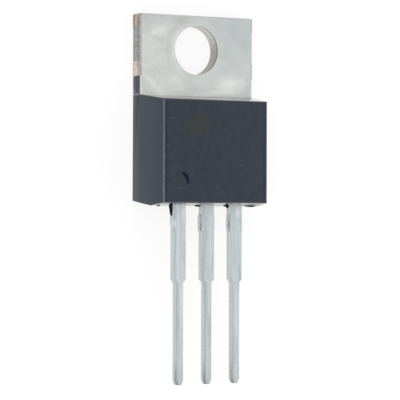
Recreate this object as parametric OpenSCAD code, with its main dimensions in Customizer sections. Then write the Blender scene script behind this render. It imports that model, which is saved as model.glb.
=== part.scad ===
// Three-lead power MOSFET in a through-hole package with a screw tab.
// The part lies on its flat cooling face: X runs across it, +Y towards the tab and +Z away from that face.
// The origin is the centre of the screw hole, in the plane of the cooling face.
// One thick-and-thin copper strip gives the tab, the pad under the chip and the middle lead. The two outer
// leads end in posts beside the pad. Wires join the chip to the posts, and epoxy is moulded round it all.

/* [Tab] */
// Width of the tab and of the body at its back
tab_width = 10.12; // [9.8:0.02:10.6]
// Thickness of the tab and of the pad under the chip
tab_thickness = 1.33; // [1.15:0.01:1.45]
// From the centre of the screw hole to the free edge of the tab
hole_to_tab_edge = 2.75; // [2.5:0.05:3.4]
// Diameter of the screw hole
hole_diameter = 3.9; // [3.5:0.05:4.1]
// Radius of the two free corners of the tab
tab_corner_radius = 0.1; // [0.05:0.05:0.6]
// Width of the bars that joined the tabs in the strip, left as sheared stubs
tie_bar_width = 1.2; // [0.8:0.05:1.4]
// How far a tie bar's stub stands out of the tab's side
tie_bar_stub = 0.03; // [0.01:0.01:0.1]
// Width of the shallow dish that the punch leaves round the hole, in front
hole_dish_width = 0.85; // [0.1:0.05:1]
// Depth of the dish at the edge of the hole
hole_dish_depth = 0.04; // [0.01:0.01:0.1]

/* [Moulded body] */
// Thickness of the package, from the cooling face to the front face
body_thickness = 4.4; // [4.2:0.05:4.8]
// Length of the body at its back, from the parting line at the leads to the tab end
body_length = 8.73; // [8.4:0.01:9.4]
// From the centre of the screw hole to the body's parting line at the leads
hole_to_lead_end = 12.38; // [12.2:0.01:13.2]
// Mould draft of the two long sides, in degrees
side_draft = 7.2; // [3:0.1:9]
// Mould draft of the end towards the tab, in degrees
tab_end_draft = 8.2; // [3:0.1:10]
// Mould draft of the lead end, in front of the parting line, in degrees
lead_end_front_draft = 7.2; // [3:0.1:10]
// Mould draft of the lead end, behind the parting line, in degrees
lead_end_back_draft = 8.4; // [3:0.1:10]
// Radius along the edges of the front face
front_edge_radius = 0.12; // [0.05:0.01:0.3]
// Diameter of the shallow mark that the ejector pin leaves
ejector_mark_diameter = 1.35; // [0.8:0.05:1.8]
// Depth of the ejector mark
ejector_mark_depth = 0.1; // [0.02:0.01:0.15]
// Width of the sloping wall round the ejector mark
ejector_mark_wall = 0.14; // [0.02:0.01:0.2]
// From the middle of the package to the ejector mark, across the front face
ejector_mark_across = 3.05; // [2.2:0.05:3.4]
// From the parting line at the leads to the ejector mark
ejector_mark_from_end = 1.92; // [1.4:0.02:6]

/* [Leads] */
// Distance between neighbouring leads
lead_pitch = 2.54; // [2.4:0.01:2.7]
// Thickness of the leads
lead_thickness = 0.48; // [0.4:0.01:0.55]
// Height of the back of the leads above the cooling face
lead_height = 2.63; // [2.45:0.01:2.75]
// Width of the leads below their shoulders
lead_width = 0.7; // [0.6:0.01:0.9]
// Width of the leads from the body to their shoulders
shoulder_width = 1.16; // [1:0.01:1.3]
// Length of the wide part of the leads, outside the body
shoulder_length = 5.91; // [4:0.01:7]
// Length of the leads outside the body
lead_length = 14.04; // [12:0.01:15]
// Chamfer on the corners of the shoulders
shoulder_chamfer = 0.12; // [0.05:0.01:0.2]
// Length of the taper at the tips
tip_length = 0.45; // [0.3:0.05:0.8]
// Width of the tips
tip_width = 0.46; // [0.3:0.01:0.5]
// Thickness of the tips
tip_thickness = 0.3; // [0.2:0.01:0.35]
// From the body to the cut dam bar that held the leads together
dam_bar_gap = 0.65; // [0.4:0.05:1]
// Width of the cut dam bar along the lead
dam_bar_width = 1.4; // [1:0.05:1.6]
// Dam bar stub left on the side of a lead that faces the gate
dam_bar_stub_gate_side = 0.09; // [0.02:0.01:0.15]
// Dam bar stub left on the side of a lead that faces the source
dam_bar_stub_source_side = 0.03; // [0.01:0.01:0.15]

/* [Inside the body] */
// Width of the epoxy on each side of the pad under the chip, below the pad's locking lip
epoxy_beside_pad = 0.61; // [0.5:0.01:1.2]
// From the parting line at the leads to the edge of the pad
pad_from_lead_end = 2.9; // [2.8:0.05:3.3]
// Thickness of the lip along the pad's sides that the epoxy grips
lip_thickness = 0.23; // [0.15:0.01:0.4]
// How far the lip stands out of the pad's sides, inside the body
lip_reach = 0.2; // [0.1:0.05:0.3]
// Length of the epoxy ears beside the tab, past the end of the body
ear_length = 1.47; // [0.8:0.01:1.6]
// Width of the V groove across the pad that locks the epoxy
lock_groove_width = 0.4; // [0.2:0.05:0.6]
// Depth of the V groove
lock_groove_depth = 0.2; // [0.1:0.05:0.3]
// Width of the middle lead where it bends down to the pad
drain_neck_width = 1.8; // [1.3:0.1:2]
// Slope of the middle lead's bend, in degrees
drain_bend = 50; // [45:1:60]
// Inner radius of the middle lead's two bends
drain_bend_radius = 0.25; // [0.15:0.05:0.3]
// Length of the bonding posts on the outer leads
post_length = 1.6; // [1.2:0.1:1.8]
// From the parting line at the leads to the posts
post_from_lead_end = 0.85; // [0.6:0.05:1]
// Width of the gate lead's post
gate_post_width = 2; // [1.4:0.1:2.2]
// Width of the source lead's post
source_post_width = 2.4; // [1.8:0.1:2.6]
// Gap across the package from the middle lead's neck to each post
post_gap = 0.9; // [0.6:0.1:1]
// Length of the chip across the package
die_width = 4.4; // [3.6:0.1:5.6]
// Length of the chip along the package
die_length = 3.2; // [2.8:0.1:3.8]
// Thickness of the chip
die_thickness = 0.25; // [0.15:0.01:0.35]
// From the edge of the pad to the chip
die_from_pad_edge = 1.1; // [0.8:0.1:1.4]
// Thickness of the solder under the chip
solder_thickness = 0.06; // [0.03:0.01:0.1]
// How far the solder shows round the chip
solder_margin = 0.12; // [0.05:0.01:0.3]
// Diameter of the gate's bond wire
gate_wire_diameter = 0.2; // [0.13:0.01:0.25]
// Diameter of the two source bond wires
source_wire_diameter = 0.38; // [0.3:0.01:0.5]
// Distance between the feet of the two source bond wires, across the post
source_wire_pitch = 1; // [0.8:0.05:1.2]
// Length of the flat foot at each end of a bond wire
foot_length = 0.6; // [0.4:0.05:0.7]

/* [Hidden] */

$fn = 64;
arc_steps = 6;
wire_sides = 10;
foot_bend_steps = 3;
top_bend_steps = 5;
landing_steps = 2;
overrun = 1;

epoxy_colour = [0.25, 0.26, 0.3];
tab_colour = [0.8, 0.81, 0.8];
lead_colour = [0.75, 0.78, 0.79];
solder_colour = [0.62, 0.63, 0.64];
silicon_colour = [0.35, 0.37, 0.42];
wire_colour = [0.85, 0.86, 0.88];

// Heights above the cooling face
lip_height = tab_thickness - lip_thickness;
lead_front = lead_height + lead_thickness;
drain_thin_height = tab_thickness - lead_thickness;
solder_top = tab_thickness + solder_thickness;
die_top = solder_top + die_thickness;

// Places along the package
lead_end_y = -hole_to_lead_end;
tab_end_y = lead_end_y + body_length;
ear_end_y = tab_end_y + ear_length;
pad_edge_y = lead_end_y + pad_from_lead_end;
shoulder_y = lead_end_y - shoulder_length;
tip_y = lead_end_y - lead_length;
dam_bar_y = lead_end_y - dam_bar_gap;
post_y = lead_end_y + post_from_lead_end;
post_end_y = post_y + post_length;
die_y = pad_edge_y + die_from_pad_edge;
lead_end_back_y = lead_end_y + lead_height * tan(lead_end_back_draft);
lead_end_front_y = lead_end_y + (body_thickness - lead_height) * tan(lead_end_front_draft);
tab_end_front_y = tab_end_y - (body_thickness - tab_thickness) * tan(tab_end_draft);

// Places across the package
pad_width = tab_width - 2 * epoxy_beside_pad;
front_width = tab_width - 2 * (body_thickness - tab_thickness) * tan(side_draft);
gate_x = -lead_pitch;
source_x = lead_pitch;
gate_post_x = -drain_neck_width / 2 - post_gap - gate_post_width / 2;
source_post_x = drain_neck_width / 2 + post_gap + source_post_width / 2;

// The bond wires leave the chip and meet the posts at these slopes, in degrees
wire_rise = 35;
wire_fall = 12;
// A wire's bends and its sunken feet, as multiples of its diameter
wire_foot_bend = 1.2;
wire_top_bend = 2.2;
wire_foot_centre = 0.35;
// Feet of the wires: on the chip as shares of its width and length, and on the source post in pitches
gate_foot_on_die = [-0.38, 0.17];
source_feet_on_die = [[0.08, 0.42], [0.28, 0.5]];
source_feet_on_post = [-0.5, 0.5];
foot_on_post_y = post_y + post_length / 2;

function unit(v) = v / norm(v);
function last(list) = list[len(list) - 1];

// Points of an arc of radius r that rounds the corner between the points before and after it
function rounded(before, corner, after, r) =
    let (u = unit(before - corner), v = unit(after - corner),
         half = acos(u * v) / 2,
         centre = corner + unit(u + v) * r / sin(half),
         from = corner + u * r / tan(half) - centre,
         to = corner + v * r / tan(half) - centre,
         turn = 180 - 2 * half,
         way = sign(from[0] * to[1] - from[1] * to[0]),
         start = atan2(from[1], from[0]))
    [for (i = [0 : arc_steps]) centre + r * [cos(start + way * turn * i / arc_steps),
                                             sin(start + way * turn * i / arc_steps)]];

// A profile drawn in Y and Z, drawn out along X to a width centred on x
module across(x, width) {
    translate([x - width / 2, 0, 0])
        rotate([90, 0, 90])
            linear_extrude(width)
                children();
}

// A profile drawn in X and Z, drawn out along Y between two places
module along(from_y, to_y) {
    translate([0, to_y, 0])
        rotate([90, 0, 0])
            linear_extrude(to_y - from_y)
                children();
}

// A plan drawn in X and Y, drawn out along Z between two heights
module upright(from_z, to_z) {
    translate([0, 0, from_z])
        linear_extrude(to_z - from_z)
            children();
}

// A strip of the given width across the package, between two places along it
module band(width, from_y, to_y) {
    translate([-width / 2, from_y])
        square([width, to_y - from_y]);
}

// ---------- copper strip ----------

module tab_plan() {
    half = tab_width / 2;
    corner = [half, hole_to_tab_edge];
    right = rounded(corner - [0, overrun], corner, corner - [overrun, 0], tab_corner_radius);
    left = [for (i = [len(right) - 1 : -1 : 0]) [-right[i][0], right[i][1]]];
    polygon(concat([[half, ear_end_y]], right, left, [[-half, ear_end_y]]));
}

module tie_bar_stubs() {
    full = tab_width + 2 * tie_bar_stub;
    difference() {
        union() {
            band(full, hole_to_tab_edge - tie_bar_width, hole_to_tab_edge - tab_corner_radius);
            band(full, ear_end_y, ear_end_y + tie_bar_width);
        }
        band(tab_width - overrun, ear_end_y - overrun, hole_to_tab_edge + overrun);
    }
}

module pad() {
    upright(0, lip_height)
        band(pad_width, pad_edge_y, ear_end_y);
    upright(lip_height, tab_thickness) {
        band(pad_width + 2 * lip_reach, pad_edge_y, tab_end_y);
        band(tab_width, tab_end_y, ear_end_y);
    }
}

module lock_groove() {
    y = (die_y + die_length + tab_end_y) / 2;
    half = lock_groove_width / 2;
    floor = tab_thickness - lock_groove_depth;
    across(0, tab_width + overrun)
        polygon([[y - half, tab_thickness], [y, floor], [y + half, tab_thickness]]);
}

// The thin part of the strip seen from the side: flat on the pad's edge, up the slope and out of the body
module drain_lead_side() {
    rise = lead_height - drain_thin_height;
    inner = drain_bend_radius;
    outer = drain_bend_radius + lead_thickness;
    foot_y = pad_edge_y - inner * tan(drain_bend / 2);
    run = rise / tan(drain_bend);
    low = [foot_y, drain_thin_height];
    high = [foot_y - run, lead_height];
    shift = lead_thickness * tan(drain_bend / 2);
    low_front = [foot_y - shift, tab_thickness];
    high_front = [foot_y - run - shift, lead_front];
    away = [overrun, 0];
    polygon(concat(
        [[pad_edge_y + lead_thickness, drain_thin_height]],
        rounded(low + away, low, high, outer),
        rounded(low, high, high - away, inner),
        [[tip_y + tip_length, lead_height],
         [tip_y, lead_height + (lead_thickness - tip_thickness) / 2],
         [tip_y, lead_front - (lead_thickness - tip_thickness) / 2],
         [tip_y + tip_length, lead_front]],
        rounded(high_front - away, high_front, low_front, outer),
        rounded(high_front, low_front, low_front + away, inner),
        [[pad_edge_y + lead_thickness, tab_thickness]]));
}

// The side of an outer lead, flat from the tip to the end of its post
module outer_lead_side() {
    taper = (lead_thickness - tip_thickness) / 2;
    polygon([[post_end_y, lead_height], [post_end_y, lead_front], [tip_y + tip_length, lead_front],
             [tip_y, lead_front - taper], [tip_y, lead_height + taper], [tip_y + tip_length, lead_height]]);
}

// The plan of a lead: its head inside the body, then the cut dam bar, the shoulders and the tapered tip
module lead_plan(x, head_from, head_to, head_end_y) {
    wide = shoulder_width / 2;
    thin = lead_width / 2;
    tip = tip_width / 2;
    c = shoulder_chamfer;
    gate_side = x - wide - dam_bar_stub_gate_side;
    source_side = x + wide + dam_bar_stub_source_side;
    dam_bar_end_y = dam_bar_y - dam_bar_width;
    polygon([[head_to, head_end_y], [head_to, post_y], [x + wide, post_y],
             [x + wide, dam_bar_y], [source_side, dam_bar_y],
             [source_side, dam_bar_end_y], [x + wide, dam_bar_end_y],
             [x + wide, shoulder_y + c], [x + wide - c, shoulder_y], [x + thin, shoulder_y - c],
             [x + thin, tip_y + tip_length], [x + tip, tip_y],
             [x - tip, tip_y], [x - thin, tip_y + tip_length],
             [x - thin, shoulder_y - c], [x - wide + c, shoulder_y], [x - wide, shoulder_y + c],
             [x - wide, dam_bar_end_y], [gate_side, dam_bar_end_y],
             [gate_side, dam_bar_y], [x - wide, dam_bar_y],
             [x - wide, post_y], [head_from, post_y], [head_from, head_end_y]]);
}

module outer_lead(x, post_x, post_width) {
    intersection() {
        across(x, 2 * tab_width)
            outer_lead_side();
        upright(lead_height, lead_front)
            lead_plan(x, post_x - post_width / 2, post_x + post_width / 2, post_end_y);
    }
}

// The screw hole, with the shallow dish round it
module screw_hole() {
    translate([0, 0, -overrun])
        cylinder(d = hole_diameter, h = tab_thickness + 2 * overrun);
    translate([0, 0, tab_thickness - hole_dish_depth])
        cylinder(d1 = hole_diameter, d2 = hole_diameter + 4 * hole_dish_width, h = 2 * hole_dish_depth);
}

module drain_lead() {
    half = drain_neck_width / 2;
    intersection() {
        across(0, tab_width)
            drain_lead_side();
        upright(0, body_thickness)
            lead_plan(0, -half, half, pad_edge_y + lead_thickness);
    }
}

module tab_and_drain_lead() {
    color(tab_colour)
        difference() {
            union() {
                upright(0, tab_thickness) {
                    tab_plan();
                    tie_bar_stubs();
                }
                pad();
                drain_lead();
            }
            lock_groove();
            screw_hole();
        }
}

module gate_lead() {
    color(lead_colour)
        outer_lead(gate_x, gate_post_x, gate_post_width);
}

module source_lead() {
    color(lead_colour)
        outer_lead(source_x, source_post_x, source_post_width);
}

// ---------- chip, solder and wires ----------

module silicon_die() {
    color(silicon_colour)
        upright(solder_top, die_top)
            band(die_width, die_y, die_y + die_length);
}

module die_attach_solder() {
    color(solder_colour)
        upright(tab_thickness, solder_top)
            band(die_width + 2 * solder_margin, die_y - solder_margin, die_y + die_length + solder_margin);
}

// Centres and slopes along an arc of a wire, as [s, z, slope], from a point with the slope a to the slope b
function wire_arc(place, a, b, bend, steps) =
    let (way = sign(b - a))
    [for (i = [1 : steps])
        let (slope = a + (b - a) * i / steps)
        [place[0] + way * bend * (sin(slope) - sin(a)),
         place[1] - way * bend * (cos(slope) - cos(a)),
         slope]];

// The centre line of a wire: it rises from the chip, turns over in a bend and comes down on its post.
// The two slopes are set, so the lengths of the straight stretches follow from the span and the height.
function wire_line(span, start_z, end_z, d) =
    let (low = wire_foot_bend * d,
         top = wire_top_bend * d,
         run = span - (low + top) * (sin(wire_rise) + sin(wire_fall)),
         climb = end_z - start_z - (low + top) * (cos(wire_fall) - cos(wire_rise)),
         up = (run * sin(wire_fall) + climb * cos(wire_fall)) / sin(wire_rise + wire_fall),
         down = (run * sin(wire_rise) - climb * cos(wire_rise)) / sin(wire_rise + wire_fall),
         off_chip = wire_arc([0, start_z], 0, wire_rise, low, foot_bend_steps),
         up_start = last(off_chip),
         up_end = [up_start[0] + up * cos(wire_rise), up_start[1] + up * sin(wire_rise)],
         over = wire_arc(up_end, wire_rise, -wire_fall, top, top_bend_steps),
         down_start = last(over),
         down_end = [down_start[0] + down * cos(wire_fall), down_start[1] - down * sin(wire_fall)])
    concat([[-foot_length, start_z, 0], [0, start_z, 0]], off_chip, [[up_end[0], up_end[1], wire_rise]], over,
           [[down_end[0], down_end[1], -wire_fall]], wire_arc(down_end, -wire_fall, 0, low, landing_steps),
           [[span + foot_length, end_z, 0]]);

// A bond wire between two feet. Its underside is pressed flat where it meets the chip and the post.
module bond_wire(from, from_z, to, to_z, d) {
    line = wire_line(norm(to - from), from_z + wire_foot_centre * d, to_z + wire_foot_centre * d, d);
    last = len(line) - 1;
    points = [for (i = [0 : last], k = [0 : wire_sides - 1])
        let (angle = 360 * (k + 0.5) / wire_sides,
             rest = i < last / 2 ? from_z : to_z)
        [line[i][0] - d / 2 * sin(angle) * sin(line[i][2]),
         d / 2 * cos(angle),
         max(rest, line[i][1] + d / 2 * sin(angle) * cos(line[i][2]))]];
    walls = [for (i = [0 : last - 1], k = [0 : wire_sides - 1])
        let (next = (k + 1) % wire_sides)
        [i * wire_sides + k, (i + 1) * wire_sides + k, (i + 1) * wire_sides + next, i * wire_sides + next]];
    ends = [[for (k = [0 : wire_sides - 1]) k],
            [for (k = [wire_sides - 1 : -1 : 0]) last * wire_sides + k]];
    translate([from[0], from[1], 0])
        rotate([0, 0, atan2(to[1] - from[1], to[0] - from[0])])
            polyhedron(points, concat(walls, ends));
}

function on_die(share) = [share[0] * die_width, die_y + share[1] * die_length];

module gate_bond_wire() {
    color(wire_colour)
        bond_wire(on_die(gate_foot_on_die), die_top, [gate_post_x, foot_on_post_y], lead_front,
                  gate_wire_diameter);
}

module source_bond_wire(side) {
    color(wire_colour)
        bond_wire(on_die(source_feet_on_die[side]), die_top,
                  [source_post_x + source_feet_on_post[side] * source_wire_pitch, foot_on_post_y], lead_front,
                  source_wire_diameter);
}

module source_bond_wire_left() {
    source_bond_wire(0);
}

module source_bond_wire_right() {
    source_bond_wire(1);
}

// ---------- moulded body ----------

// The body seen along the package: straight beside the tab, then drafted towards the front face
module body_section() {
    half = tab_width / 2;
    edge = [front_width / 2, body_thickness];
    right = rounded([half, tab_thickness], edge, edge - [overrun, 0], front_edge_radius);
    left = [for (i = [len(right) - 1 : -1 : 0]) [-right[i][0], right[i][1]]];
    polygon(concat([[-half, 0], [half, 0], [half, tab_thickness]], right, left, [[-half, tab_thickness]]));
}

// The body seen from the side: drafted both ways from the parting line at the back of the leads
module body_side() {
    lead_edge = [lead_end_front_y, body_thickness];
    tab_edge = [tab_end_front_y, body_thickness];
    polygon(concat(
        [[lead_end_back_y, 0], [tab_end_y, 0], [tab_end_y, tab_thickness]],
        rounded([tab_end_y, tab_thickness], tab_edge, lead_edge, front_edge_radius),
        rounded(tab_edge, lead_edge, [lead_end_y, lead_height], front_edge_radius),
        [[lead_end_y, lead_height]]));
}

// Epoxy that runs up both sides of the tab, under its lip, as far as the lower tie bar
module ears() {
    upright(0, lip_height)
        difference() {
            band(tab_width, tab_end_y - overrun, ear_end_y);
            band(pad_width, tab_end_y - 2 * overrun, ear_end_y + overrun);
        }
}

module ejector_mark() {
    translate([-ejector_mark_across, lead_end_y + ejector_mark_from_end, body_thickness - ejector_mark_depth])
        cylinder(d1 = ejector_mark_diameter - 2 * ejector_mark_wall,
                 d2 = ejector_mark_diameter + 2 * ejector_mark_wall, h = 2 * ejector_mark_depth);
}

module moulded_body() {
    color(epoxy_colour)
        difference() {
            union() {
                intersection() {
                    along(lead_end_y - overrun, tab_end_y + overrun)
                        body_section();
                    across(0, tab_width + overrun)
                        body_side();
                }
                ears();
            }
            ejector_mark();
            tab_and_drain_lead();
            gate_lead();
            source_lead();
            die_attach_solder();
            silicon_die();
            gate_bond_wire();
            source_bond_wire_left();
            source_bond_wire_right();
        }
}

moulded_body();
tab_and_drain_lead();
gate_lead();
source_lead();
die_attach_solder();
silicon_die();
gate_bond_wire();
source_bond_wire_left();
source_bond_wire_right();
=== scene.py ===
import bpy, bmesh, math
from mathutils import Matrix, Vector
from mathutils.bvhtree import BVHTree


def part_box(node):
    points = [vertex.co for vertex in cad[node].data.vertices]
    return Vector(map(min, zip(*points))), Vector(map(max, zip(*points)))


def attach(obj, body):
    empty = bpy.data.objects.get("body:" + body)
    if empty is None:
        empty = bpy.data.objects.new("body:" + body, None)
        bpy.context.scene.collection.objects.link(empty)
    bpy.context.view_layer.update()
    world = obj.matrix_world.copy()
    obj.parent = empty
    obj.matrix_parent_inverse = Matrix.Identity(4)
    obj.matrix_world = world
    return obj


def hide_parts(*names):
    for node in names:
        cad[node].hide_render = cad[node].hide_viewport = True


# Power transistor: a plastic package with a screw tab and three leads. It lies on its cooling face, with
# the tab towards +Y, the leads towards -Y and the centre of the screw hole at the origin.
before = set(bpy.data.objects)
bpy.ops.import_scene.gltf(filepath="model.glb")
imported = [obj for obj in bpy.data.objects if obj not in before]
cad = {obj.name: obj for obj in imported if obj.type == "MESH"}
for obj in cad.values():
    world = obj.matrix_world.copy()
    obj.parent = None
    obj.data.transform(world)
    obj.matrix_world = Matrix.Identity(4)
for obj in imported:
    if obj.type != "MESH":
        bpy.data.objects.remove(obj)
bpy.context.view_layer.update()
mm = 0.001


# ---------- Camera ----------
# A long lens to the left of the part and above it, which looks down across the front face. Its aim is
# given from the middle of the package's lead end, in millimetres.
camera_turn, camera_dip, camera_roll = math.radians(29.475), math.radians(-0.676), math.radians(-0.121)
camera_distance, aim_across, aim_up = 179.9, -0.907, -0.492
film_width, lens_length, nearest_seen = 36, 202.47, 5
lead_end = 12.38

look = Vector((math.sin(camera_turn) * math.cos(camera_dip), -math.sin(camera_dip),
               -math.cos(camera_turn) * math.cos(camera_dip)))
level = Vector((math.cos(camera_turn), 0, math.sin(camera_turn)))
plumb = level.cross(look)
right = level * math.cos(camera_roll) - plumb * math.sin(camera_roll)
up = level * math.sin(camera_roll) + plumb * math.cos(camera_roll)
stand = -camera_distance * look - aim_across * right - aim_up * up - Vector((0, lead_end, 0))

lens = bpy.data.cameras.new("camera")
lens.sensor_width = film_width
lens.lens = lens_length
lens.clip_start = nearest_seen * mm
camera = bpy.data.objects.new("camera", lens)
camera.matrix_world = Matrix.Translation(stand * mm) @ Matrix((right, up, -look)).transposed().to_4x4()
scene = bpy.context.scene
scene.collection.objects.link(camera)
scene.camera = camera
scene.view_settings.view_transform = 'Standard'


# ---------- Table, room and lamps ----------
# A plain white table under the part in a white room, and three soft lamps. Seen directly, or mirrored in
# the metal, the table shows its white with only part of the shadow, and the room is plain white.
table_drop, table_half = 0.02, 400
table_white, table_seen_white, table_seen_glow = 0.85, 0.24, 0.8
room_light, room_white = 0.75, 1.0
# Each lamp's place and width in millimetres, and its watts
lamps = (("key_lamp", (-230, -40, 300), 160, 0.24),
         ("fill_lamp", (340, -20, 130), 200, 0.12),
         ("end_lamp", (-20, -330, 160), 200, 0.12))


def add(tree, kind, *terms, **values):
    """A node with its first sockets set in order, its other sockets by Name and its settings by name: a
    value sets a constant, and a socket is linked in."""
    made = tree.nodes.new(kind)
    for name in [name for name in values if name.islower()]:
        setattr(made, name, values.pop(name))
    sockets = list(zip(made.inputs, terms))
    for socket, value in sockets + [(made.inputs[name.replace("_", " ")], values[name]) for name in values]:
        if isinstance(value, bpy.types.NodeSocket):
            tree.links.new(value, socket)
        elif hasattr(value, "__len__") and len(value) == 3 and len(socket.default_value) == 4:
            socket.default_value = (*value, 1)
        else:
            socket.default_value = value
    return made


def maths(tree, operation, *terms):
    return add(tree, "ShaderNodeMath", *terms, operation=operation).outputs[0]


def vectors(tree, operation, *terms, **named):
    made = add(tree, "ShaderNodeVectorMath", *terms, operation=operation, **named)
    return made.outputs["Value" if operation == 'LENGTH' else "Vector"]


def product(tree, first, *others):
    for other in others:
        first = maths(tree, 'MULTIPLY', first, other)
    return first


def seen_or_mirrored(tree):
    path = tree.nodes.new("ShaderNodeLightPath")
    direct = maths(tree, 'MAXIMUM', path.outputs["Is Camera Ray"], path.outputs["Is Glossy Ray"])
    return maths(tree, 'MAXIMUM', direct, path.outputs["Is Transmission Ray"])


table_paint = bpy.data.materials.new("white_table")
table_paint.use_nodes = True
tree = table_paint.node_tree
tree.nodes.clear()
lit = add(tree, "ShaderNodeBsdfDiffuse", Color=[table_white] * 3)
lit_seen = add(tree, "ShaderNodeBsdfDiffuse", Color=[table_seen_white] * 3)
glow = add(tree, "ShaderNodeEmission", Strength=table_seen_glow)
seen = add(tree, "ShaderNodeAddShader", lit_seen.outputs[0], glow.outputs[0])
cover = add(tree, "ShaderNodeMixShader", seen_or_mirrored(tree), lit.outputs[0], seen.outputs[0])
add(tree, "ShaderNodeOutputMaterial", Surface=cover.outputs[0])

table_mesh = bpy.data.meshes.new("table")
table_mesh.from_pydata([(x * table_half * mm, y * table_half * mm, -table_drop * mm)
                        for x, y in ((-1, -1), (1, -1), (1, 1), (-1, 1))], [], [(0, 1, 2, 3)])
table_mesh.materials.append(table_paint)
table = bpy.data.objects.new("table", table_mesh)
scene.collection.objects.link(table)

room = bpy.data.worlds.new("white_room")
room.use_nodes = True
tree = room.node_tree
walls = tree.nodes["Background"]
walls.inputs["Color"].default_value = (1, 1, 1, 1)
strength = add(tree, "ShaderNodeMix", Factor=seen_or_mirrored(tree), A=room_light, B=room_white)
tree.links.new(strength.outputs["Result"], walls.inputs["Strength"])
scene.world = room

for name, place, width, watts in lamps:
    lamp = bpy.data.lights.new(name, 'AREA')
    lamp.size = width * mm
    lamp.energy = watts
    held = bpy.data.objects.new(name, lamp)
    held.location = Vector(place) * mm
    aim = Vector((0, -lead_end, 0)) - Vector(place)
    held.rotation_euler = aim.to_track_quat('-Z', 'Y').to_euler()
    scene.collection.objects.link(held)


# ---------- Moulded body ----------
# Charcoal epoxy, transfer moulded round the copper strip, the chip and the wires. The mould's spark-eroded
# walls leave a fine grain and its ejector pin a round mark, and the long front edges carry a painted
# highlight.
epoxy_dark, epoxy_light, epoxy_smudge_and_highlight = (0.003, 0.008, 0.021), (0.010, 0.0165, 0.034), (0.055, 0.065, 0.085)
epoxy_edge_highlight, epoxy_side_sheen, epoxy_ear = (0.11, 0.12, 0.165), (0.010, 0.0195, 0.04), (0.027, 0.04, 0.046)
# Lumps a millimetre of each grain, and how deep the two that can be felt are
epoxy_lumps, highlight_and_ear_lumps, smudge_lumps, lip_highlight_lumps = 1.6, 3, 6, 4
(epoxy_fine, fine_depth), (epoxy_waves, wave_depth) = (11, 0.006), (2.2, 0.008)
epoxy_gloss, end_gloss, end_coat, end_coat_rough = (0.3, 0.44), 0.4, 0.7, 0.12
epoxy_edge_round, front_height, side_edge, ear_span = 0.035, 4.4, 4.67, (-3.8, -3.3)
back_burr, burr_beyond, burr_below, burr_start = 0.03, 4.9, 0.2, -3.7
highlight_above, highlight_beyond, end_above, between_ends = 4.27, 4.4, 1.4, (-11.8, -4.6)
line_inside, line_reach, line_share, front_skin = 0.26, 0.14, 0.3, 0.05
# The pin's mark: its rim and floor, and the lit round of the floor, outside which lies a crescent of
# painted shade
pin_mark, pin_rim, pin_floor, lip_below = (-3.09, -10.44, front_height), 0.76, 0.6, (0.25, 0.45)
lit_round_off, lit_round_reach, crescent_shade, rim_wall_shade = Vector((0.8, 0.6, 0)), 1.48, 0.93, 0.25
dull_film, dull_reach = (3.7, -12.3, 3.3), (1.6, 0.5, 1.8)
# Smudges (centre, reach), and stains and painted highlights (centre, reach, share, colour): the first two
# are stains, the last two painted highlights where the side meets the ear
smudges = (((-3.81, -5.57, front_height), (0.3, 0.1, 1)), ((2.35, -9.18, front_height), (0.34, 0.12, 1)),
           ((0.09, -10.91, front_height), (0.3, 0.22, 1)), ((-3.45, -4.55, front_height), (0.1, 0.09, 1)),
           ((-5.0, -8.0, 2.6), (1, 0.1, 0.5)))
stains_and_highlights = (((-1.6, -6.1, front_height), (1.2, 1.1, 1), 0.8, (0.012, 0.016, 0.013)),
          ((4.2, -7.2, front_height), (1.3, 4.0, 1), 0.4, (0.003, 0.016, 0.03)),
          # Painted highlights along the edge where the body's side meets the ear
          ((-5.1, -3.61, 0.55), (0.3, 0.13, 0.95), 0.75, (0.21, 0.22, 0.24)),
          ((-5.1, -3.4, 0.05), (0.3, 0.3, 0.4), 0.7, (0.21, 0.22, 0.24)))


def solid_copy(name):
    """The node's mesh as one closed skin of flat faces, to be worked further."""
    skin = bmesh.new()
    skin.from_mesh(cad[name].data)
    bmesh.ops.remove_doubles(skin, verts=skin.verts, dist=0.001 * mm)
    bmesh.ops.dissolve_limit(skin, angle_limit=math.radians(0.5), verts=skin.verts, edges=skin.edges,
                             delimit={'NORMAL'})
    skin.normal_update()
    return skin


def open_to_air(edge, tops):
    """True where nothing of the part covers the edge, so that it can be seen and rounded."""
    normal = (edge.link_faces[0].normal + edge.link_faces[1].normal).normalized()
    middle = (edge.verts[0].co + edge.verts[1].co) / 2 + normal * 0.02 * mm
    return all(top.ray_cast(middle, normal)[0] is None for top in tops)


def round_edges(skin, size, steps=2, sharper=25):
    tops = []
    for other in cad.values():
        other_skin = bmesh.new()
        other_skin.from_mesh(other.data)
        tops.append(BVHTree.FromBMesh(other_skin))
        other_skin.free()
    picked = [e for e in skin.edges if len(e.link_faces) == 2 and e.is_convex
              and e.calc_face_angle(0) > math.radians(sharper) and open_to_air(e, tops)]
    bmesh.ops.bevel(skin, geom=picked, offset=size * mm, segments=steps, profile=0.5, affect='EDGES',
                    clamp_overlap=False)
    skin.normal_update()


def mark_faces(skin, name, chosen):
    """Keeps a named share on each face, which the finish reads: 1 where chosen is true."""
    layer = skin.faces.layers.float.new(name)
    for face in skin.faces:
        face[layer] = float(chosen(face.normal, face.calc_center_median() / mm))


def finish_piece(name, skin, paint, slot, *replaced):
    mesh = bpy.data.meshes.new(name)
    skin.to_mesh(mesh)
    skin.free()
    old_shading = mesh.attributes.get("custom_normal")
    if old_shading:
        mesh.attributes.remove(old_shading)
    mesh.materials.append(paint)
    mesh.shade_smooth()
    mesh.set_sharp_from_angle(angle=math.radians(32))
    piece = bpy.data.objects.new(name, mesh)
    scene.collection.objects.link(piece)
    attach(piece, "root")
    if replaced:
        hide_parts(*replaced)
    return piece


def new_paint(name):
    paint = bpy.data.materials.new(name)
    paint.use_nodes = True
    tree = paint.node_tree
    place = tree.nodes.new("ShaderNodeTexCoord").outputs["Object"]
    return paint, tree, tree.nodes["Principled BSDF"], place


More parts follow.
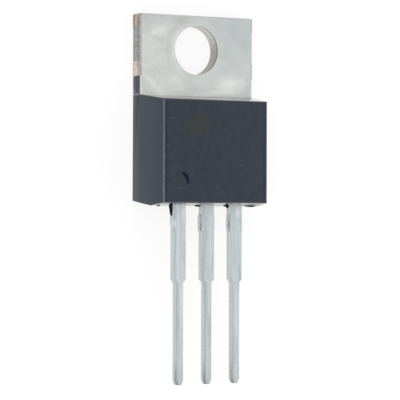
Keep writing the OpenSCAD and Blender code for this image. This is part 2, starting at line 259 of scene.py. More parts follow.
def grain(tree, place, per_mm, detail=3.0, stretch=(1, 1, 1), rough=0.5, seed=0.0):
    """Noise from 0 to 1 with about per_mm lumps a millimetre, stretched by a share along each axis."""
    scales = [per_mm / mm * share for share in stretch]
    sized = add(tree, "ShaderNodeMapping", Vector=place, Scale=scales, Location=[seed] * 3).outputs[0]
    noise = add(tree, "ShaderNodeTexNoise", Vector=sized, Scale=1.0, Detail=detail, Roughness=rough)
    return noise.outputs[0]


def ramp(tree, value, low, high, to_low=0.0, to_high=1.0):
    """The value carried from low to high onto another span. Each limit is a number or a socket."""
    return add(tree, "ShaderNodeMapRange", Value=value, From_Min=low, From_Max=high, To_Min=to_low,
               To_Max=to_high).outputs[0]


def fade(tree, distance, span, to_low=0.0, to_high=1.0):
    """A share that goes from one value to another over a span of the distance, given in millimetres."""
    return ramp(tree, distance, span[0] * mm, span[1] * mm, to_low, to_high)


def blend(tree, share, one, other):
    made = tree.nodes.new("ShaderNodeMix")
    made.data_type = 'RGBA'
    for socket, value in (("Factor_Float", share), ("A_Color", one), ("B_Color", other)):
        entry = next(s for s in made.inputs if s.identifier == socket)
        if isinstance(value, bpy.types.NodeSocket):
            tree.links.new(value, entry)
        else:
            entry.default_value = (*value, 1) if hasattr(value, "__len__") else value
    return next(s for s in made.outputs if s.identifier == "Result_Color")


def spot(tree, place, centre, reach, core=0.2, turn=0.0):
    """1 within the core of an oval patch, falling to 0 at its edge. Centre and reach are in millimetres."""
    held = add(tree, "ShaderNodeMapping", vector_type='TEXTURE', Vector=place,
               Location=[c * mm for c in centre], Rotation=(0, 0, math.radians(turn)),
               Scale=[r * mm for r in reach])
    return ramp(tree, vectors(tree, 'LENGTH', held.outputs[0]), 1.0, core)


def stripe(tree, value, middle, reach):
    """1 where the value is at the middle, in millimetres, falling to 0 at the reach on both sides."""
    off = maths(tree, 'ABSOLUTE', maths(tree, 'SUBTRACT', value, middle * mm))
    return ramp(tree, off, reach * mm, 0.0)


def kept_share(tree, name):
    share = tree.nodes.new("ShaderNodeAttribute")
    share.attribute_name = name
    return share.outputs["Fac"]


def bumps(tree, shader, *layers):
    """Layers of (height, depth in millimetres), each laid on the one before."""
    below = None
    for height, depth in layers:
        made = add(tree, "ShaderNodeBump", Height=height, Distance=depth * mm, Strength=1.0)
        if below:
            tree.links.new(below, made.inputs["Normal"])
        below = made.outputs[0]
    tree.links.new(below, shader.inputs["Normal"])


epoxy, tree, shader, place = new_paint("moulded_epoxy")
axis = add(tree, "ShaderNodeSeparateXYZ", Vector=place).outputs
cloud = grain(tree, place, epoxy_lumps, detail=5, rough=0.6)
fine = grain(tree, place, epoxy_fine)
highlight_and_ear_grain = ramp(tree, grain(tree, place, highlight_and_ear_lumps), 0.3, 0.6, 0.55, 1.0)
colour = blend(tree, ramp(tree, cloud, 0.35, 0.65), epoxy_dark, epoxy_light)
marks = spot(tree, place, *smudges[0])
for centre, reach in smudges[1:]:
    marks = maths(tree, 'MAXIMUM', marks, spot(tree, place, centre, reach))
marks = product(tree, marks, ramp(tree, grain(tree, place, smudge_lumps, detail=2), 0.3, 0.7, 0.1, 0.8))
colour = blend(tree, marks, colour, epoxy_smudge_and_highlight)
# The long sides are painted paler and bluer: a painted reflection
colour = blend(tree, kept_share(tree, "side"), colour, epoxy_side_sheen)
# The rounding of the long front edges is painted pale: a painted highlight
colour = blend(tree, product(tree, kept_share(tree, "worn"), highlight_and_ear_grain), colour, epoxy_edge_highlight)
colour = blend(tree, product(tree, fade(tree, axis[1], ear_span), highlight_and_ear_grain), colour, epoxy_ear)
# Stains, and the painted highlights at the ear
for centre, reach, share, tone in stains_and_highlights:
    colour = blend(tree, product(tree, spot(tree, place, centre, reach, core=0.5), share), colour, tone)
# The pin's mark: painted shade in the upper right of its rim and on its other walls, and a patchy painted
# highlight on the lip below
ring = spot(tree, place, pin_mark, (pin_rim, pin_rim, 2), core=0.84)
rim = product(tree, ring, ramp(tree, spot(tree, place, pin_mark, (pin_floor, pin_floor, 2), 0.8), 1.0, 0.0))
low = fade(tree, axis[1], [pin_mark[1] - drop for drop in lip_below])
patchy = ramp(tree, grain(tree, place, lip_highlight_lumps, detail=2), 0.42, 0.55, 0.0, 0.45)
colour = blend(tree, product(tree, rim, low, patchy), colour, epoxy_smudge_and_highlight)
tree.links.new(colour, shader.inputs["Base Color"])
lit_round = spot(tree, place, Vector(pin_mark) - lit_round_off, (lit_round_reach, lit_round_reach, 2), core=0.94)
# Painted shade: a crescent in the upper right of the rim, and lighter shade on the rest of the wall
crescent = product(tree, ring, ramp(tree, lit_round, 1.0, 0.0), crescent_shade)
pin_mark_shade = maths(tree, 'MAXIMUM', crescent, product(tree, rim, ramp(tree, low, 0.0, 1.0, rim_wall_shade, 0.0)))
# A darker line on the front, just inside each long edge's painted highlight
from_middle = maths(tree, 'ABSOLUTE', axis[0])
edge_line = product(tree, stripe(tree, from_middle, side_edge - line_inside, line_reach),
                    fade(tree, axis[2], (front_height - front_skin, front_height)), line_share)
shade = ramp(tree, maths(tree, 'MAXIMUM', pin_mark_shade, edge_line), 0.0, 1.0, 1.0, 0.0)
tree.links.new(shade, shader.inputs["Specular Tint"])
# The ends shine, apart from a dull film of resin over the parting line
no_film = ramp(tree, spot(tree, place, dull_film, dull_reach, core=0.1), 0.0, 1.0, 1.0, 0.1)
smooth_end = product(tree, kept_share(tree, "smooth_end"), no_film)
rough = product(tree, ramp(tree, fine, 0.2, 0.8, *epoxy_gloss),
                ramp(tree, smooth_end, 0.0, 1.0, 1.0, end_gloss))
tree.links.new(rough, shader.inputs["Roughness"])
tree.links.new(product(tree, smooth_end, end_coat), shader.inputs["Coat Weight"])
shader.inputs["Coat Roughness"].default_value = end_coat_rough
bumps(tree, shader, (fine, fine_depth), (grain(tree, place, epoxy_waves, detail=2), wave_depth))

body = solid_copy("moulded_body")
round_edges(body, epoxy_edge_round)
# A thin burr of resin stands out along both back edges
for point in body.verts:
    x, y, z = point.co / mm
    if abs(x) > burr_beyond and y < burr_start and z < burr_below:
        point.co.x += math.copysign(back_burr * mm, x)
# The faces of the long front edges' rounding, which carry the painted highlight
mark_faces(body, "worn", lambda normal, middle: middle.z > highlight_above and abs(middle.x) > highlight_beyond
           and 0.1 < abs(normal.x) < 0.985)
# The side faces, which carry the painted reflection
mark_faces(body, "side", lambda normal, middle: abs(normal.x) > 0.9)
mark_faces(body, "smooth_end", lambda normal, middle: abs(normal.y) > 0.3 and middle.z > end_above
           and not between_ends[0] < middle.y < between_ends[1])
finish_piece("epoxy_body", body, epoxy, "epoxy", "moulded_body")


# ---------- Stamped leads ----------
# Three like leads, cut from thin copper strip and dipped in tin: wide from the body to the shoulder with
# the scar of the cut dam bar on each side, then narrow to the tapered tip. The tin is soft edged and lumpy.
lead_pitch, lead_root = 2.54, -12.2
lead_low, lead_high = (Vector(corner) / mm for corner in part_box("gate_lead"))
lead_wide, lead_narrow, shoulder_at, shoulder_soft = 1.16, 0.74, -18.29, 0.12
tip_taper, taper_curve, tip_wide, tip_thick, tip_round = 0.45, 1.4, 0.5, 0.3, 0.12
dam_from, dam_to, dam_left, dam_right, scar_start, scar_stop = -13.0, -14.43, 0.09, 0.03, 0.35, 0.14
lead_edge, tin_lump, tin_lumps, smooth_tip = 0.045, 0.012, (2.6, 1.1, 2.6), 0.2
lead_rows, tip_rows = 240, 0.07

tree = bpy.data.node_groups.new("stamped_lead", "GeometryNodeTree")
sockets = {}
for name, value in (("Middle", 0.0), ("Root", lead_root), ("Tip", lead_low.y), ("Taper", tip_taper),
                    ("Wide", lead_wide), ("Narrow", lead_narrow), ("Tip Width", tip_wide),
                    ("Shoulder", shoulder_at), ("Shoulder Softness", shoulder_soft),
                    ("Dam Bar From", dam_from), ("Dam Bar To", dam_to), ("Left Scar", dam_left),
                    ("Right Scar", dam_right), ("Back Height", lead_low.z),
                    ("Thickness", lead_high.z - lead_low.z), ("Tip Thickness", tip_thick),
                    ("Tip Radius", tip_round), ("Edge Radius", lead_edge), ("Lumps", tin_lump),
                    ("Seed", 0.0)):
    socket = tree.interface.new_socket(name=name, in_out='INPUT', socket_type='NodeSocketFloat')
    socket.default_value = value
    sockets[name] = socket.identifier
socket = tree.interface.new_socket(name="Metal", in_out='INPUT', socket_type='NodeSocketMaterial')
sockets["Metal"] = socket.identifier
tree.interface.new_socket(name="Lead", in_out='OUTPUT', socket_type='NodeSocketGeometry')
given = tree.nodes.new("NodeGroupInput").outputs

# A block of fine faces, two units long each way, with its outer rows kept for the rounded edges
block = add(tree, "GeometryNodeMeshCube", Size=(2, 2, 2), Vertices_X=17, Vertices_Y=lead_rows, Vertices_Z=9)
block_place = tree.nodes.new("GeometryNodeInputPosition").outputs[0]
unit = add(tree, "ShaderNodeSeparateXYZ", Vector=block_place).outputs
tip_zone_unit, tip_zone, flat_wide, flat_thick = 2 * tip_rows - 1, 0.6, 0.75, 0.5
tip_zone_end = maths(tree, 'ADD', given["Tip"], tip_zone)
along = maths(tree, 'ADD', ramp(tree, unit[1], tip_zone_unit, 1, tip_zone_end, given["Root"]),
              ramp(tree, unit[1], tip_zone_unit, -1, 0, -tip_zone))
across_share, thick_share = maths(tree, 'ABSOLUTE', unit[0]), maths(tree, 'ABSOLUTE', unit[2])
# How far each point is round the edges, and how much shorter the arc makes its way there
edges = [ramp(tree, across_share, flat_wide, 1),
         ramp(tree, along, maths(tree, 'ADD', given["Tip"], given["Tip Radius"]), given["Tip"]),
         ramp(tree, thick_share, flat_thick, 1)]
corner = vectors(tree, 'LENGTH', add(tree, "ShaderNodeCombineXYZ", *edges).outputs[0])
pull = maths(tree, 'DIVIDE', 1.0, maths(tree, 'MAXIMUM', corner, 1.0))
# How wide the strip is at each place along it
half_wide, half_narrow, half_tip = [maths(tree, 'MULTIPLY', given[width], 0.5)
                                    for width in ("Wide", "Narrow", "Tip Width")]
half = ramp(tree, along, maths(tree, 'SUBTRACT', given["Shoulder"], given["Shoulder Softness"]),
            maths(tree, 'ADD', given["Shoulder"], given["Shoulder Softness"]), half_narrow, half_wide)
taper_start = maths(tree, 'ADD', given["Tip"], given["Taper"])
tapered = maths(tree, 'POWER', ramp(tree, along, taper_start, given["Tip"]), taper_curve)
half = maths(tree, 'SUBTRACT', half, product(tree, tapered, maths(tree, 'SUBTRACT', half_narrow, half_tip)))
scar_full = maths(tree, 'SUBTRACT', given["Dam Bar From"], scar_start)
scar_fades = maths(tree, 'ADD', given["Dam Bar To"], scar_stop)
scar = product(tree, ramp(tree, along, given["Dam Bar From"], scar_full),
               ramp(tree, along, given["Dam Bar To"], scar_fades))
scar_size = ramp(tree, unit[0], -0.01, 0.01, given["Left Scar"], given["Right Scar"])
half = maths(tree, 'MULTIPLY_ADD', scar, scar_size, half)
half_thick = ramp(tree, tapered, 0.0, 1.0, maths(tree, 'MULTIPLY', given["Thickness"], 0.5),
                  maths(tree, 'MULTIPLY', given["Tip Thickness"], 0.5))


def rounded_strip(unit_place, share, flat, half_size, edge):
    """The way from the middle of the strip: along the flat, then round the edge."""
    flat_size = maths(tree, 'SUBTRACT', half_size, given["Edge Radius"])
    straight = product(tree, ramp(tree, share, 0, flat), flat_size)
    arc = product(tree, edge, pull, given["Edge Radius"])
    return product(tree, maths(tree, 'SIGN', unit_place), maths(tree, 'ADD', straight, arc))


across = maths(tree, 'ADD', given["Middle"],
               rounded_strip(unit[0], across_share, flat_wide, half, edges[0]))
height = maths(tree, 'ADD', maths(tree, 'MULTIPLY_ADD', given["Thickness"], 0.5, given["Back Height"]),
               rounded_strip(unit[2], thick_share, flat_thick, half_thick, edges[2]))
lengthwise = maths(tree, 'MULTIPLY_ADD', product(tree, edges[1], maths(tree, 'SUBTRACT', 1.0, pull)),
                   given["Tip Radius"], along)
at_mm = add(tree, "ShaderNodeCombineXYZ", X=across, Y=lengthwise, Z=height).outputs[0]
to_metres = vectors(tree, 'SCALE', at_mm, Scale=mm)
# What the finish reads: the cut sides, and the way round from the left front corner in millimetres, which
# is less than nothing on the left side
from_left = maths(tree, 'ADD', maths(tree, 'SUBTRACT', across, given["Middle"]), half)
below_front = maths(tree, 'SUBTRACT', maths(tree, 'ADD', given["Back Height"], given["Thickness"]), height)
shares = {"cut_side": ramp(tree, across_share, 0.8, 0.97),
          "from_corner": maths(tree, 'SUBTRACT', from_left, below_front)}
geometry = block.outputs["Mesh"]
for name, share in shares.items():
    marked = add(tree, "GeometryNodeStoreNamedAttribute", Geometry=geometry, Name=name, Value=share)
    geometry = marked.outputs[0]
shaped = add(tree, "GeometryNodeSetPosition", Geometry=geometry, Position=to_metres)
# Tin that ran and set in low lumps, drawn out along the lead
lumps = add(tree, "ShaderNodeTexNoise", noise_dimensions='4D', W=given["Seed"], Scale=1.0, Detail=2.0,
            Vector=vectors(tree, 'MULTIPLY', at_mm, tin_lumps))
swell = product(tree, ramp(tree, lumps.outputs[0], 0.25, 0.75, -1.0, 0.35),
                ramp(tree, along, given["Tip"], maths(tree, 'ADD', given["Tip"], smooth_tip)),
                given["Lumps"], mm)
outward = vectors(tree, 'SCALE', tree.nodes.new("GeometryNodeInputNormal").outputs[0], Scale=swell)
tinned = add(tree, "GeometryNodeSetPosition", Geometry=shaped.outputs[0], Offset=outward)
real = add(tree, "GeometryNodeRealizeInstances", Geometry=tinned.outputs[0])
metal = add(tree, "GeometryNodeSetMaterial", Geometry=real.outputs[0], Material=given["Metal"])
tree.links.new(metal.outputs[0], tree.nodes.new("NodeGroupOutput").inputs[0])
stamped_lead = tree, sockets


def made_by(former, **settings):
    """The plain mesh that a tree of nodes makes with these settings."""
    group, entries = former
    holder = bpy.data.objects.new("blank", bpy.data.meshes.new("blank"))
    scene.collection.objects.link(holder)
    work = holder.modifiers.new("work", 'NODES')
    work.node_group = group
    for name, value in settings.items():
        work[entries[name.replace("_", " ")]] = value
    bpy.context.view_layer.update()
    made = bpy.data.meshes.new_from_object(holder.evaluated_get(bpy.context.evaluated_depsgraph_get()))
    holder.modifiers.remove(work)
    bpy.data.objects.remove(holder)
    return made


tin_dark, tin_light, tin_cut = (0.44, 0.48, 0.495), (0.61, 0.66, 0.675), (0.62, 0.655, 0.67)
tin_darker, tin_torn = (0.12, 0.135, 0.14), (0.85, 0.84, 0.85)
tin_streaks, tin_mottle, tin_fine, tin_gloss = 2.6, 5, 14, (0.3, 0.48)
streak_depth, tin_fine_depth, streak_share, mottle_share, cut_side_share = 0.02, 0.003, 0.7, 0.2, 0.6
# Spans across the part, along the leads, and round a lead from its left front corner, in millimetres
source_side, gate_side, corner_shift, outer_leads = (0.8, 1.5), (-2, -1), 0.05, (0.7, 1.5)
right_part, narrow_part, right_paler, all_paler = (0.2, 0.45), (-17, -19), 0.05, 0.03
narrow_from, near_tip, at_tip = (-18.2, -18.4), (-24.3, -26.0), (-24.6, -26.2)
scar_begins, scar_ends, scar_darkness = (-13.0, -13.8), (-14.45, -14.25), 0.75
# Darker lines: how far each lies round the corner, and its reach
edge_dark_line, tip_dark_line, scar_line = (0.06, 0.3), (0.01, 0.18), (0.03, 0.17)
torn_scar, rubbed = ((-3.02, -13.82, 3.11), (0.26, 0.4, 0.3)), ((2.7, -12.95, 3.11), (0.35, 0.5, 0.3))
rubbed_share = 0.35
lead_tin, tree, shader, place = new_paint("dipped_tin")
axis = add(tree, "ShaderNodeSeparateXYZ", Vector=place).outputs
streak = grain(tree, place, tin_streaks, detail=5, stretch=(1.3, 0.1, 1.3), rough=0.6)
mottle = grain(tree, place, tin_mottle, seed=3.0)
shade = maths(tree, 'MULTIPLY_ADD', mottle, mottle_share, product(tree, streak, streak_share))
corner = product(tree, kept_share(tree, "from_corner"), mm)
corner = maths(tree, 'ADD', corner, fade(tree, axis[0], source_side, 0.0, corner_shift * mm))
right_side = product(tree, fade(tree, corner, right_part),
                     fade(tree, axis[1], narrow_part, 0.3, 1.0), right_paler)
shade = maths(tree, 'ADD', shade, maths(tree, 'ADD', right_side, all_paler))
colour = blend(tree, ramp(tree, shade, 0.36, 0.62), tin_dark, tin_light)
colour = blend(tree, product(tree, kept_share(tree, "cut_side"), cut_side_share), colour, tin_cut)
# Darker along the sheared left front edge, darkest at the tips and in the scars of the dam bars
wide_share = fade(tree, maths(tree, 'ABSOLUTE', axis[0]), outer_leads, 0.25, 0.13)
edge_share = fade(tree, axis[1], narrow_from, wide_share, 0.3)
darkened = product(tree, stripe(tree, corner, *edge_dark_line), edge_share)
tip_share = fade(tree, axis[1], near_tip, 0.0, 0.5)
darkened = maths(tree, 'ADD', darkened, product(tree, stripe(tree, corner, *tip_dark_line), tip_share))
scar = product(tree, fade(tree, axis[1], scar_begins), fade(tree, axis[1], scar_ends), scar_darkness)
scar = product(tree, scar, stripe(tree, corner, *scar_line), fade(tree, axis[0], gate_side, 0.35, 1.0))
darkened = product(tree, maths(tree, 'ADD', darkened, scar), ramp(tree, mottle, 0.35, 0.6, 0.75, 1.15))
colour = blend(tree, darkened, colour, tin_darker)
colour = blend(tree, fade(tree, axis[1], at_tip, 0.0, 0.13), colour, tin_darker)
torn = product(tree, spot(tree, place, *torn_scar), ramp(tree, mottle, 0.4, 0.6, 0.3, 1.0))
colour = blend(tree, torn, colour, tin_torn)
colour = blend(tree, product(tree, spot(tree, place, *rubbed), rubbed_share), colour, tin_torn)
tree.links.new(colour, shader.inputs["Base Color"])
shader.inputs["Metallic"].default_value = 1.0
tree.links.new(ramp(tree, mottle, 0.25, 0.75, *tin_gloss), shader.inputs["Roughness"])
bumps(tree, shader, (streak, streak_depth), (grain(tree, place, tin_fine, detail=2), tin_fine_depth))


def lead_head(name):
    """The part of a lead inside the epoxy: the node cut off just behind the body's end, and closed."""
    skin = solid_copy(name)
    everything = skin.verts[:] + skin.edges[:] + skin.faces[:]
    cut_through = bmesh.ops.bisect_plane(skin, geom=everything, plane_co=(0, lead_root * mm, 0),
                                         plane_no=(0, -1, 0), clear_outer=True)
    rim = [e for e in cut_through["geom_cut"] if isinstance(e, bmesh.types.BMEdge)]
    bmesh.ops.contextual_create(skin, geom=rim)
    return skin


gate_scar_end, outer_scar = -13.95, 0.06
for name, middle, seed, scar_end in (("gate_lead", -lead_pitch, 1.0, gate_scar_end),
                                     ("source_lead", lead_pitch, 7.0, dam_to)):
    skin = lead_head(name)
    skin.from_mesh(made_by(stamped_lead, Middle=middle, Seed=seed, Metal=lead_tin, Left_Scar=outer_scar,
                           Dam_Bar_To=scar_end))
    finish_piece(name + "_tinned", skin, lead_tin, "plated_leads", name)


# ---------- Tab, pad and middle lead ----------
# One piece, stamped from strip that is thick at the tab and thin at the leads, and plated with tin before
# it is cut free. The cut sides are dull, and the stubs of the tie bars show bare copper.
tab_dark, tab_light, tab_shaded = (0.53, 0.545, 0.53), (0.66, 0.685, 0.665), (0.42, 0.46, 0.465)
tab_cut_and_shade, tab_cut_light, tab_cut_line = (0.27, 0.275, 0.255), (0.41, 0.42, 0.395), (0.17, 0.17, 0.155)
copper_upper, copper_upper_dark = (0.55, 0.42, 0.35), (0.28, 0.21, 0.16)
copper_lower, copper_lower_dark = (0.7, 0.575, 0.535), (0.53, 0.41, 0.36)
hole_low, hole_high = (0.36, 0.375, 0.325), (0.64, 0.65, 0.625)
tab_front, tab_edge_round, hole_radius, drain_wider = 1.33, 0.03, 1.95, 0.04
tab_lumps, tab_scuffs, side_scratches, copper_lumps, tab_gloss = 0.45, 2.6, 5, 2.6, (0.3, 0.42)
scuff_depth, cloud_depth, scuff_share, cloud_share = 0.004, 0.03, 0.3, 0.7
# Spans on the front face: (from, to) in millimetres, and for rings and lines (middle, reach)
shaded_across, shaded_right, shaded_top, shade_across_hole = (-1.5, 3.5), (4.35, 4.7), (1.2, 2.6), (0.5, -1.5)
punch_ring, punch_land, punch_rim = (2.66, 0.25), (2.72, 2.5), (hole_radius + 0.04, 0.14)
rolled_out, rolled_up = (4.95, 5.01), (-2.25, -2.15)
# Spans on the cut sides and in the hole
shear_line, side_foot, side_top = (0.9, 0.26), (0.22, 0.04), (1.14, 1.3)
upper_stub_up, lower_stub_up, lower_stub_down = (1.6, 1.78), (-2.2, -2.15), (-0.96, -1.02)
stub_out, stub_under, copper_turn, copper_line = (4.96, 5.0), (1.31, 1.22), (0.0, 0.1), (1.06, 0.3)
wall_span, wall_drag, wall_rim, torn_band, torn_up = (0.45, 1.9), 0.8, (1.16, 0.22), (0.5, 0.2), (0.5, 1.0)
in_hole = (hole_radius + 0.1, hole_radius + 0.05)
tab_bright, tab_teal, tab_brown = (0.86, 0.87, 0.82), (0.34, 0.45, 0.45), (0.42, 0.42, 0.385)
tab_rolled_shade = (0.39, 0.37, 0.36)
# Patches on the front: centre, reach, turn in degrees, share and colour
tab_patches = (((3.6, 1.05, tab_front), (0.75, 1.2, 1), 0, 0.3, tab_teal),
               ((-1.4, 2.35, tab_front), (1.3, 0.5, 1), -8, 0.45, tab_brown),
               ((-3.3, 1.5, tab_front), (1.2, 0.5, 1), 20, 0.3, tab_bright),
               ((-3.95, -2.8, tab_front), (1.3, 0.32, 1), -44, 0.35, tab_bright),
               ((2.9, -2.7, tab_front), (1.7, 0.9, 1), 8, 0.45, tab_bright),
               ((2.2, -3.3, tab_front), (2.0, 0.3, 1), 3, 0.4, tab_bright),
               ((4.95, -3.6, tab_front), (0.9, 0.35, 1), 0, 0.5, tab_shaded),
               ((4.5, 0.7, tab_front), (1.2, 1.8, 1), 0, 0.8, tab_shaded))

plated_tab, tree, shader, place = new_paint("plated_strip")
axis = add(tree, "ShaderNodeSeparateXYZ", Vector=place).outputs
cloud = grain(tree, place, tab_lumps, detail=5, rough=0.55)
patchy = grain(tree, place, tab_scuffs, detail=4, stretch=(0.6, 1.1, 1), seed=5.0)
shade = maths(tree, 'MULTIPLY_ADD', patchy, scuff_share, product(tree, cloud, cloud_share))
colour = blend(tree, ramp(tree, shade, 0.36, 0.62), tab_dark, tab_light)
colour = blend(tree, fade(tree, axis[0], shaded_across, 0.0, 0.4), colour, tab_shaded)
for centre, reach, turn, share, tone in tab_patches:
    colour = blend(tree, product(tree, spot(tree, place, centre, reach, turn=turn), share), colour, tone)
colour = blend(tree, fade(tree, axis[0], shaded_right, 0.0, 0.3), colour, tab_shaded)
colour = blend(tree, fade(tree, axis[1], shaded_top, 0.0, 0.4), colour, tab_shaded)
# The punch pressed a dish round the hole: painted shade lies on it in rings, darker on the left
from_axis = vectors(tree, 'LENGTH', add(tree, "ShaderNodeCombineXYZ", axis[0], axis[1]).outputs[0])
dish_shade_rings = maths(tree, 'MAXIMUM', product(tree, stripe(tree, from_axis, *punch_ring), 0.13),
              product(tree, fade(tree, from_axis, punch_land), 0.07))
dish_shade_rings = maths(tree, 'MAXIMUM', dish_shade_rings, product(tree, stripe(tree, from_axis, *punch_rim), 0.2))
left_heavy_shade = product(tree, fade(tree, axis[0], shade_across_hole, 0.15, 1.0), ramp(tree, patchy, 0.35, 0.6, 0.4, 1.2))
colour = blend(tree, product(tree, dish_shade_rings, left_heavy_shade), colour, tab_cut_and_shade)
# The sheared side: dull, with a line where the shear broke through, and a painted highlight at the front
# edge
scratch = grain(tree, place, side_scratches, detail=4, stretch=(1, 1, 0.35), rough=0.6)
side = blend(tree, ramp(tree, scratch, 0.35, 0.65), tab_cut_and_shade, tab_cut_light)
side = blend(tree, product(tree, stripe(tree, axis[2], *shear_line), 0.4), side, tab_cut_line)
side = blend(tree, fade(tree, axis[2], side_foot, 0.0, 0.3), side, tab_cut_line)
side = blend(tree, fade(tree, axis[2], side_top, 0.0, 0.6), side, tab_light)
# Bare copper at the tie bars' stubs, the upper pair browned
mottled = ramp(tree, grain(tree, place, copper_lumps, detail=4, rough=0.6, seed=2.0), 0.38, 0.62)
upper = blend(tree, mottled, copper_upper_dark, copper_upper)
lower = blend(tree, ramp(tree, mottled, 0.0, 0.6), copper_lower_dark, copper_lower)
copper = blend(tree, fade(tree, axis[1], copper_turn), lower, upper)
copper = blend(tree, product(tree, stripe(tree, axis[2], *copper_line), 0.75), copper, copper_upper_dark)
upper_stub = fade(tree, axis[1], upper_stub_up)
lower_stub = product(tree, fade(tree, axis[1], lower_stub_up), fade(tree, axis[1], lower_stub_down))
from_middle = maths(tree, 'ABSOLUTE', axis[0])
stubs = product(tree, maths(tree, 'ADD', upper_stub, lower_stub), fade(tree, from_middle, stub_out),
                fade(tree, axis[2], stub_under))
side = blend(tree, stubs, side, copper)
# The wall of the hole: bright at the top, a shear streak with a painted highlight, dull and olive below,
# dark at its front rim
wall_up = maths(tree, 'MULTIPLY_ADD', scratch, wall_drag * mm, axis[1])
wall = blend(tree, fade(tree, wall_up, wall_span), hole_low, hole_high)
wall = blend(tree, product(tree, stripe(tree, axis[2], *wall_rim), 0.75), wall, tab_cut_line)
torn_line = product(tree, stripe(tree, axis[2], *torn_band), fade(tree, axis[1], torn_up))
wall = blend(tree, product(tree, torn_line, ramp(tree, scratch, 0.45, 0.55, 0.1, 0.7)), wall, tab_cut_line)
side = blend(tree, fade(tree, from_axis, in_hole), side, wall)
# The rounded edges are painted light: a painted highlight
colour = blend(tree, product(tree, kept_share(tree, "rounded_edge"), 0.8), colour, tab_light)
# The punch rolled the side edges over; their rounding on the front is painted dark, a painted shade
rolled_edge_shade = product(tree, fade(tree, from_middle, rolled_out), fade(tree, axis[1], rolled_up))
colour = blend(tree, product(tree, rolled_edge_shade, ramp(tree, patchy, 0.35, 0.6, 0.6, 1.0)), colour, tab_rolled_shade)
colour = blend(tree, kept_share(tree, "cut_side"), colour, side)
tree.links.new(colour, shader.inputs["Base Color"])
shader.inputs["Metallic"].default_value = 1.0
tree.links.new(ramp(tree, cloud, 0.3, 0.7, *tab_gloss), shader.inputs["Roughness"])
bumps(tree, shader, (patchy, scuff_depth), (cloud, cloud_depth))

strip = lead_head("tab_and_drain_lead")
round_edges(strip, tab_edge_round)
upright, level_face = 0.3, 0.97
mark_faces(strip, "cut_side", lambda normal, middle: abs(normal.z) < upright)
mark_faces(strip, "rounded_edge", lambda normal, middle: upright <= abs(normal.z) < level_face)
finish_piece("tab_plated", strip, plated_tab, "plated_tab", "tab_and_drain_lead")

drain = bmesh.new()
drain.from_mesh(made_by(stamped_lead, Middle=0.0, Seed=4.0, Metal=lead_tin, Wide=lead_wide + drain_wider))
finish_piece("drain_lead_tinned", drain, lead_tin, "plated_leads")


# ---------- Mould flash ----------
# Thin dark slivers of resin that crept out at the parting line and down the sides of the leads, left where
# the trimming tool missed them. Each is a ragged spindle between two points.
flash_rings, flash_rounds, flash_ragged, flash_tears = 18, 10, 0.05, 7.0
# Each sliver's two ends, width and thickness
slivers = (((-3.28, -11.45, 2.74), (-3.16, -13.2, 2.82), 0.17, 0.3),
           ((-4.36, -12.38, 2.66), (-4.02, -12.39, 2.64), 0.1, 0.14),
           ((3.5, -12.31, 2.68), (4.72, -12.32, 2.68), 0.26, 0.2),
           ((-0.95, -12.38, 2.66), (-0.42, -12.34, 2.72), 0.17, 0.22),
           ((1.64, -12.37, 2.68), (1.98, -12.37, 2.74), 0.12, 0.17),
           ((1.9, -12.12, 2.8), (1.9, -12.56, 2.78), 0.14, 0.22))

tree = bpy.data.node_groups.new("resin_flash", "GeometryNodeTree")
sockets = {}
for name, kind in (("From", "NodeSocketVector"), ("To", "NodeSocketVector"),
                   ("Width", "NodeSocketFloat"), ("Thickness", "NodeSocketFloat"),
                   ("Ragged", "NodeSocketFloat"), ("Seed", "NodeSocketFloat"),
                   ("Resin", "NodeSocketMaterial")):
    sockets[name] = tree.interface.new_socket(name=name, in_out='INPUT', socket_type=kind).identifier
tree.interface.new_socket(name="Flash", in_out='OUTPUT', socket_type='NodeSocketGeometry')
given = tree.nodes.new("NodeGroupInput").outputs

ball = add(tree, "GeometryNodeMeshUVSphere", Segments=flash_rounds, Rings=flash_rings, Radius=1.0)
ball_place = tree.nodes.new("GeometryNodeInputPosition").outputs[0]
unit = add(tree, "ShaderNodeSeparateXYZ", Vector=ball_place).outputs
length = vectors(tree, 'SUBTRACT', given["To"], given["From"])
beside = vectors(tree, 'NORMALIZE', vectors(tree, 'CROSS_PRODUCT', (0, 0, 1), length))
way = vectors(tree, 'SCALE', length, Scale=ramp(tree, unit[2], -1, 1))
out = vectors(tree, 'SCALE', beside, Scale=product(tree, unit[0], given["Width"], 0.5))
rise = add(tree, "ShaderNodeCombineXYZ", Z=product(tree, unit[1], given["Thickness"], 0.5)).outputs[0]
at_mm = vectors(tree, 'ADD', vectors(tree, 'ADD', vectors(tree, 'ADD', given["From"], way), out), rise)
torn = add(tree, "ShaderNodeTexNoise", noise_dimensions='4D', Vector=at_mm, W=given["Seed"],
           Scale=flash_tears, Detail=2.0)
tear = vectors(tree, 'SCALE', vectors(tree, 'SUBTRACT', torn.outputs["Color"], (0.5, 0.5, 0.5)),
               Scale=maths(tree, 'MULTIPLY', given["Ragged"], 2.0))
placed = vectors(tree, 'SCALE', vectors(tree, 'ADD', at_mm, tear), Scale=mm)
shaped = add(tree, "GeometryNodeSetPosition", Geometry=ball.outputs["Mesh"], Position=placed)
real = add(tree, "GeometryNodeRealizeInstances", Geometry=shaped.outputs[0])
resin = add(tree, "GeometryNodeSetMaterial", Geometry=real.outputs[0], Material=given["Resin"])
tree.links.new(resin.outputs[0], tree.nodes.new("NodeGroupOutput").inputs[0])
resin_flash = tree, sockets

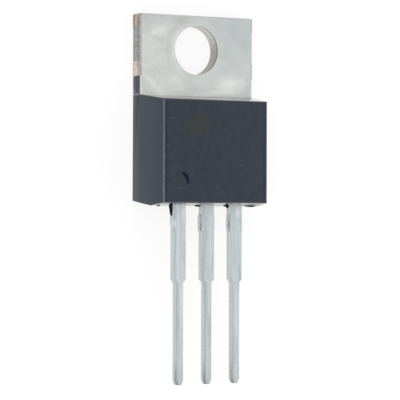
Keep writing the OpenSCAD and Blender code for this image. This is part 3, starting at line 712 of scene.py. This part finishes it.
resin_dark, resin_light = (0.003, 0.004, 0.006), (0.009, 0.011, 0.014)
resin_lumps, resin_depth, resin_gloss, resin_shine = 9, 0.02, (0.65, 0.9), 0.2
flash_resin, tree, shader, place = new_paint("flash_resin")
torn = grain(tree, place, resin_lumps)
colour = blend(tree, ramp(tree, torn, 0.35, 0.65), resin_dark, resin_light)
tree.links.new(colour, shader.inputs["Base Color"])
tree.links.new(ramp(tree, torn, 0.3, 0.7, *resin_gloss), shader.inputs["Roughness"])
shader.inputs["Specular IOR Level"].default_value = resin_shine
bumps(tree, shader, (torn, resin_depth))

flash = bmesh.new()
for seed, (start, stop, width, thickness) in enumerate(slivers):
    flash.from_mesh(made_by(resin_flash, From=start, To=stop, Width=width, Thickness=thickness,
                            Ragged=flash_ragged, Seed=float(seed), Resin=flash_resin))
bmesh.ops.recalc_face_normals(flash, faces=flash.faces)
finish_piece("mould_flash", flash, flash_resin, "epoxy")


# ---------- Chip, solder and wires ----------
# Inside the epoxy: a silicon chip with an aluminium face, soldered to the pad, and three aluminium wires
# pressed onto the chip and the leads' posts. Their shapes are the frame's own.
die_low, die_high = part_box("silicon_die")
chip_blue, chip_metal, chip_gap = (0.06, 0.07, 0.1), (0.72, 0.73, 0.74), (0.2, 0.22, 0.24)
finger_pitch, finger_gap, chip_border, chip_top = 1.1, 0.05, 0.1, (-0.02, -0.005)
cell_lumps, line_depth, chip_gloss = 14, 0.002, (0.22, 0.4)
gate_pad = ((-1.67, -7.84, 1.64), (0.42, 0.32, 1))
chip_paint, tree, shader, place = new_paint("metallised_silicon")
axis = add(tree, "ShaderNodeSeparateXYZ", Vector=place).outputs
fingers = maths(tree, 'PINGPONG', axis[0], finger_pitch / 2 * mm)
lines = ramp(tree, fingers, finger_gap * mm, 0.0)
lines = maths(tree, 'MAXIMUM', lines, product(tree, spot(tree, place, *gate_pad, core=0.96),
                                              ramp(tree, spot(tree, place, *gate_pad, core=0.8), 1.0, 0.8)))
for way in (0, 1):
    for edge, inward in ((die_low[way], chip_border * mm), (die_high[way], -chip_border * mm)):
        border = ramp(tree, axis[way], edge + inward, edge + inward / 2)
        lines = maths(tree, 'MAXIMUM', lines, border)
cells = ramp(tree, grain(tree, place, cell_lumps, detail=2), 0.3, 0.7, 0.0, 0.2)
face = blend(tree, maths(tree, 'MAXIMUM', lines, cells), chip_metal, chip_gap)
on_top = ramp(tree, axis[2], *[die_high[2] + height * mm for height in chip_top])
tree.links.new(blend(tree, on_top, chip_blue, face), shader.inputs["Base Color"])
tree.links.new(ramp(tree, on_top, 0.0, 1.0, 0.2, 1.0), shader.inputs["Metallic"])
tree.links.new(ramp(tree, cells, 0.0, 0.2, *chip_gloss), shader.inputs["Roughness"])
bumps(tree, shader, (lines, line_depth))

solder_dull, solder_bright = (0.4, 0.4, 0.405), (0.6, 0.6, 0.595)
solder_lumps, solder_depth, solder_gloss = 3.5, 0.01, (0.3, 0.55)
solder_paint, tree, shader, place = new_paint("soft_solder")
frozen = grain(tree, place, solder_lumps, detail=4, rough=0.6)
colour = blend(tree, ramp(tree, frozen, 0.35, 0.65), solder_dull, solder_bright)
tree.links.new(colour, shader.inputs["Base Color"])
shader.inputs["Metallic"].default_value = 1.0
tree.links.new(ramp(tree, frozen, 0.3, 0.7, *solder_gloss), shader.inputs["Roughness"])
bumps(tree, shader, (frozen, solder_depth))

wire_dull, wire_bright = (0.66, 0.67, 0.68), (0.8, 0.81, 0.82)
wire_lines, wire_stretch, wire_depth, wire_gloss = 9, (1, 0.15, 1), 0.002, (0.25, 0.4)
wire_paint, tree, shader, place = new_paint("drawn_aluminium")
drawn = grain(tree, place, wire_lines, stretch=wire_stretch)
colour = blend(tree, ramp(tree, drawn, 0.35, 0.65), wire_dull, wire_bright)
tree.links.new(colour, shader.inputs["Base Color"])
shader.inputs["Metallic"].default_value = 1.0
tree.links.new(ramp(tree, drawn, 0.3, 0.7, *wire_gloss), shader.inputs["Roughness"])
bumps(tree, shader, (drawn, wire_depth))

for name, paint in (("silicon_die", chip_paint), ("die_attach_solder", solder_paint),
                    ("gate_bond_wire", wire_paint), ("source_bond_wire_left", wire_paint),
                    ("source_bond_wire_right", wire_paint)):
    for entry in cad[name].material_slots:
        entry.material = paint
